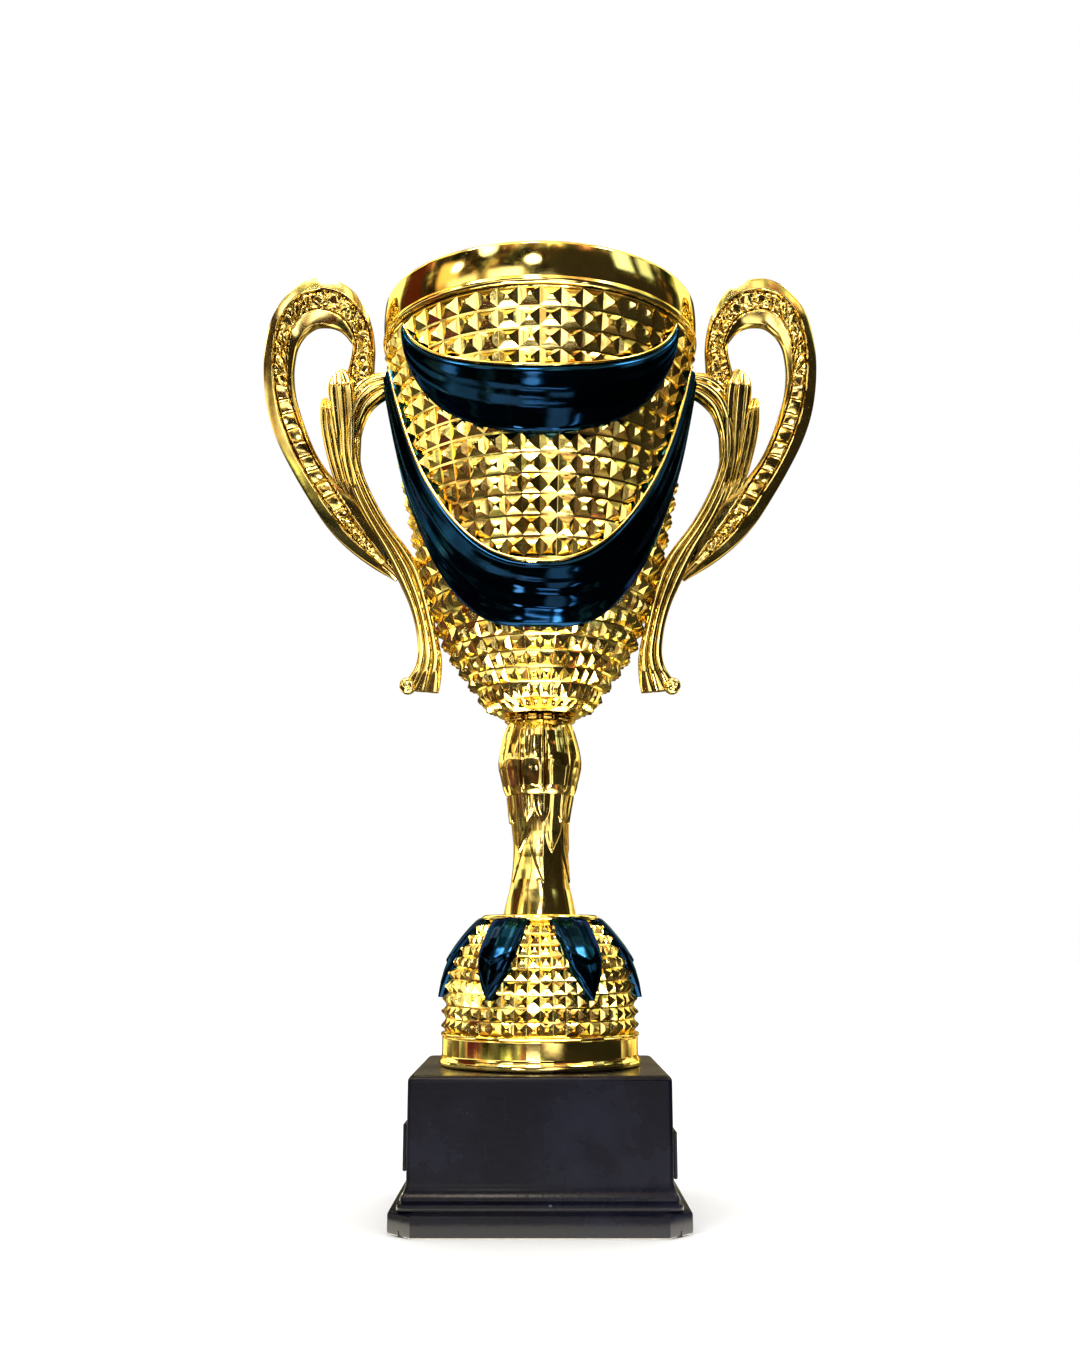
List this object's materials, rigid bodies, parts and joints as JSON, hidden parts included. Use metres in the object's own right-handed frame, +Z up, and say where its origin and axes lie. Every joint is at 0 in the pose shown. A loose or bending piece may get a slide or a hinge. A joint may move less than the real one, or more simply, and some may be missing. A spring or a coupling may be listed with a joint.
{
  "type": "cup trophy",
  "caption": "Two-handled presentation cup on a domed foot and square plinth: studded gold bowl with blue swags, scrolled handles and a smooth rim.",
  "frame": {"origin": "centre of the plinth's underside, on the cup's axis", "axes": "+Z up along the cup's axis, -Y towards the front, +X towards the right handle"},
  "size_m": [0.2202, 0.1248, 0.3567],
  "materials": {
    "gold_plate": "polished",
    "blue_lacquer": "gloss",
    "black_plastic": "satin",
    "zinc_steel": "satin",
    "ballast": "matte",
    "foam_pad": "matte"
  },
  "bodies": {
    "root": {"foot_dome": "gold_plate", "stem_base_disc": "gold_plate", "stem_column": "gold_plate", "stem_knop": "gold_plate", "stem_collar": "gold_plate", "bowl_shell": "gold_plate", "rim_band": "gold_plate", "handle_left": "gold_plate", "handle_right": "gold_plate", "upper_swag_front": "blue_lacquer", "upper_swag_back": "blue_lacquer", "lower_swag_front": "blue_lacquer", "lower_swag_back": "blue_lacquer", "dome_petal_1": "blue_lacquer", "dome_petal_2": "blue_lacquer", "dome_petal_3": "blue_lacquer", "dome_petal_4": "blue_lacquer", "dome_petal_5": "blue_lacquer", "dome_petal_6": "blue_lacquer", "plinth_shell": "black_plastic", "side_plate_left": "black_plastic", "side_plate_right": "black_plastic", "tie_rod": "zinc_steel", "tie_rod_washer_bottom": "zinc_steel", "tie_rod_nut_bottom": "zinc_steel", "tie_rod_washer_top": "zinc_steel", "tie_rod_nut_top": "zinc_steel", "handle_screw_upper_left": "zinc_steel", "handle_screw_upper_right": "zinc_steel", "handle_screw_lower_left": "zinc_steel", "handle_screw_lower_right": "zinc_steel", "ballast_block": "ballast", "base_pad": "foam_pad"}
  },
  "joints": []
}
